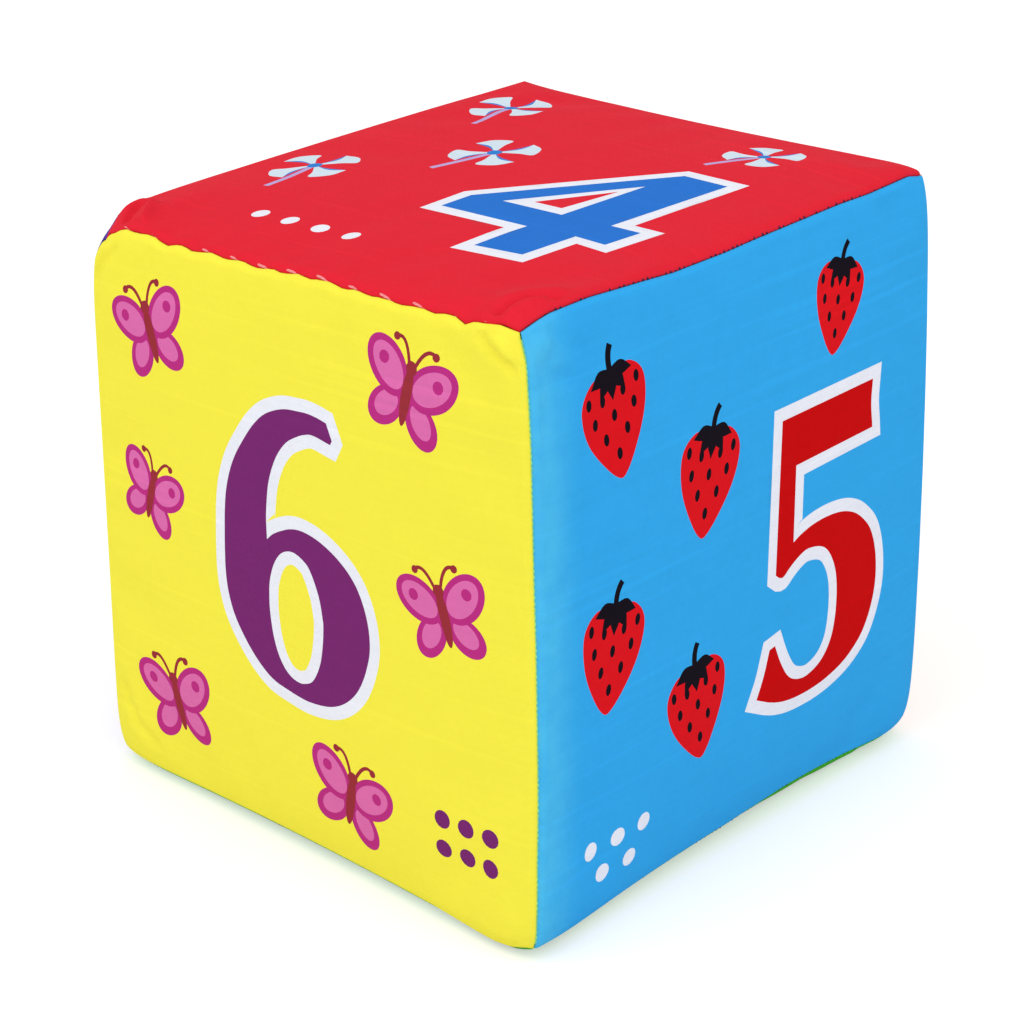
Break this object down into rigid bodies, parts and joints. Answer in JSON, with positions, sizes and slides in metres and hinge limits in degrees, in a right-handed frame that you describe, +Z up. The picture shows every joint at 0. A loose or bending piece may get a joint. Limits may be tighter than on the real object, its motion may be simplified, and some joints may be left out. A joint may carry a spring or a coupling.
{
  "type": "soft die",
  "caption": "Soft cube-shaped die for babies: a foam block in a sewn cover of coloured cloth panels, each with a printed numeral and small motifs.",
  "frame": {"origin": "middle of the face that the die rests on, which is face three", "axes": "+Z up, out of face four; +X out of face five; -Y out of face six; opposite faces add up to seven"},
  "size_m": [0.1, 0.1, 0.0995],
  "materials": {
    "foam": "open-cell foam",
    "orange_cloth": "printed brushed polyester",
    "violet_cloth": "printed brushed polyester",
    "green_cloth": "printed brushed polyester",
    "red_cloth": "printed brushed polyester",
    "blue_cloth": "printed brushed polyester",
    "yellow_cloth": "printed brushed polyester",
    "machine_thread": "polyester sewing thread",
    "hand_thread": "polyester sewing thread"
  },
  "bodies": {
    "root": {"foam_core": "foam", "panel_one": "orange_cloth", "panel_two": "violet_cloth", "panel_three": "green_cloth", "panel_four": "red_cloth", "panel_five": "blue_cloth", "panel_six": "yellow_cloth", "seam_thread_one_two": "machine_thread", "seam_thread_one_three": "machine_thread", "seam_thread_one_four": "machine_thread", "seam_thread_one_five": "machine_thread", "seam_thread_two_three": "machine_thread", "seam_thread_two_four": "machine_thread", "seam_thread_two_six": "machine_thread", "seam_thread_three_five": "machine_thread", "seam_thread_three_six": "machine_thread", "seam_thread_four_five": "machine_thread", "seam_thread_five_six": "machine_thread", "closing_stitch_four_six": "hand_thread"}
  },
  "joints": []
}
